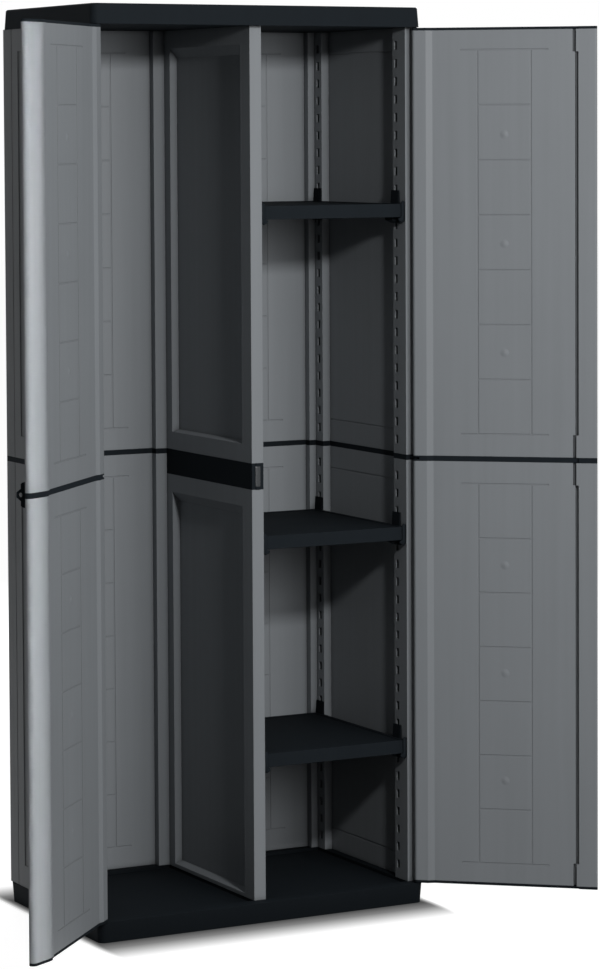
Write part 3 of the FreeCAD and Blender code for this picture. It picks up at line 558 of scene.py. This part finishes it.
class CABINET_OT_stage(bpy.types.Operator):
    """Set up the white surroundings, floor, lamps and camera"""

    bl_idname = "cabinet.stage"
    bl_label = "Stage and camera"

    def execute(self, context):
        scene = context.scene
        stage = scene.cabinet_stage
        scene.view_settings.view_transform = "Standard"
        self.make_world(scene, stage)
        self.make_floor(scene, stage)
        lamp("key_lamp", stage.key_place, CABINET_MIDDLE, KEY_SIZE, stage.key_power)
        lamp("soft_box", stage.box_place, CABINET_MIDDLE, BOX_SIZE, stage.box_power)
        lamp("back_box", stage.back_place, CABINET_MIDDLE, BACK_SIZE, stage.back_power)
        self.light_edge(stage)
        self.make_camera(scene, stage)
        return {"FINISHED"}

    def light_edge(self, stage):
        """A narrow strip that lights only the stile at the free edge of the left door."""
        strip = lamp("edge_strip", stage.strip_place, STRIP_AIM, STRIP_SIZE, stage.strip_power)
        strip.data.spread = STRIP_SPREAD
        strip.visible_glossy = False
        edge = bpy.data.collections.new("lit_edge")
        for name in ("door_left_stile_lower", "door_left_stile_upper"):
            edge.objects.link(frame["nodes"][name])
        strip.light_linking.receiver_collection = edge

    def make_world(self, scene, stage):
        shader = Shader(bpy.data.worlds.new("studio"))
        seen = white_to_camera(shader)
        strength = stage.sky_level + seen * (1.0 - stage.sky_level)
        sky = shader.node("ShaderNodeBackground", inputs={"Color": rgba(WHITE), "Strength": strength})
        shader.node("ShaderNodeOutputWorld", inputs={"Surface": sky})
        scene.world = shader.owner

    def make_floor(self, scene, stage):
        mesh = bpy.data.meshes.new("floor")
        form = bmesh.new()
        bmesh.ops.create_grid(form, x_segments=FLOOR_CELLS, y_segments=FLOOR_CELLS, size=FLOOR_SIZE)
        form.to_mesh(mesh)
        form.free()
        floor = bpy.data.objects.new("floor", mesh)
        floor.location.z = FLOOR_LEVEL
        scene.collection.objects.link(floor)
        shader = Shader(bpy.data.materials.new("floor_white"))
        seen = white_to_camera(shader)
        # Painted contact shadow: the floor's colour and its glow darken towards the base.
        near = self.painted_contact_shadow(shader, stage.painted_shadow_reach)
        glow = shader.mix(seen * near, rgba(BLACK), rgba(WHITE, stage.floor_lift))
        white = shader.mix(near, rgba(BLACK), rgba(WHITE, SEEN_FLOOR))
        ground = shader.mix(seen, rgba(WHITE, LIT_FLOOR), white)
        mesh.materials.append(shader.surface({
            "Base Color": ground, "Roughness": 0.9, "Emission Color": glow,
            "Emission Strength": 1.0, "Specular IOR Level": 0.0}))

    def painted_contact_shadow(self, shader, reach):
        """Painted contact shadow: darkest at the base's foot and 1 out of reach, narrower beside the base
        than in front.
        """
        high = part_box("base")[1]
        steps = (("ABSOLUTE", ORIGIN), ("SUBTRACT", (high[0], high[1], 1)),
                 ("MAXIMUM", ORIGIN), ("MULTIPLY", SIDE_SQUEEZE))
        place = shader.node("ShaderNodeTexCoord", output="Object")
        for operation, other in steps:
            place = shader.node("ShaderNodeVectorMath", {"operation": operation}, {0: place, 1: other})
        away = shader.node("ShaderNodeVectorMath", {"operation": "LENGTH"}, {0: place}, 1)
        return shader.node("ShaderNodeValToRGB", {"stops": PAINTED_SHADOW_STOPS}, {0: away * (1 / reach)})

    def make_camera(self, scene, stage):
        data = bpy.data.cameras.new("camera")
        data.sensor_width = SENSOR_SIZE
        data.lens = stage.lens
        data.shift_y = stage.camera_shift
        data.clip_start = 0.1
        data.clip_end = 100
        camera = bpy.data.objects.new("camera", data)
        turn = Matrix.Rotation(-stage.camera_turn, 4, "Z")
        tilt = Matrix.Rotation(math.pi / 2 - stage.camera_dip, 4, "X")
        roll = Matrix.Rotation(stage.camera_roll, 4, "Z")
        camera.matrix_world = Matrix.Translation(stage.camera_place) @ turn @ tilt @ roll
        scene.collection.objects.link(camera)
        scene.camera = camera


class CABINET_PT_sidebar(bpy.types.Panel):
    """Sizes, colours and the steps that dress the cabinet"""

    bl_idname = "CABINET_PT_sidebar"
    bl_label = "Garden cabinet"
    bl_space_type = "VIEW_3D"
    bl_region_type = "UI"
    bl_category = "Cabinet"

    def draw(self, context):
        for group in (context.scene.cabinet_finish, context.scene.cabinet_stage):
            box = self.layout.box()
            for key in group.bl_rna.properties.keys():
                if key not in ("rna_type", "name"):
                    box.prop(group, key)
        for step in STEPS:
            self.layout.operator(step.bl_idname)


STEPS = (CABINET_OT_grey_mouldings, CABINET_OT_black_mouldings, CABINET_OT_divider_panels,
         CABINET_OT_door_bosses, CABINET_OT_catch_rib, CABINET_OT_shelf_clips, CABINET_OT_stage)
CLASSES = (CabinetFinish, CabinetStage) + STEPS + (CABINET_PT_sidebar,)


def register():
    for item in CLASSES:
        bpy.utils.register_class(item)
    bpy.types.Scene.cabinet_finish = PointerProperty(type=CabinetFinish)
    bpy.types.Scene.cabinet_stage = PointerProperty(type=CabinetStage)


def unregister():
    del bpy.types.Scene.cabinet_stage
    del bpy.types.Scene.cabinet_finish
    for item in reversed(CLASSES):
        bpy.utils.unregister_class(item)


def main():
    register()
    bpy.ops.cabinet.grey_mouldings()
    bpy.ops.cabinet.black_mouldings()
    bpy.ops.cabinet.divider_panels()
    bpy.ops.cabinet.door_bosses()
    bpy.ops.cabinet.catch_rib()
    bpy.ops.cabinet.shelf_clips()
    bpy.ops.cabinet.stage()


if __name__ == "__main__":
    main()
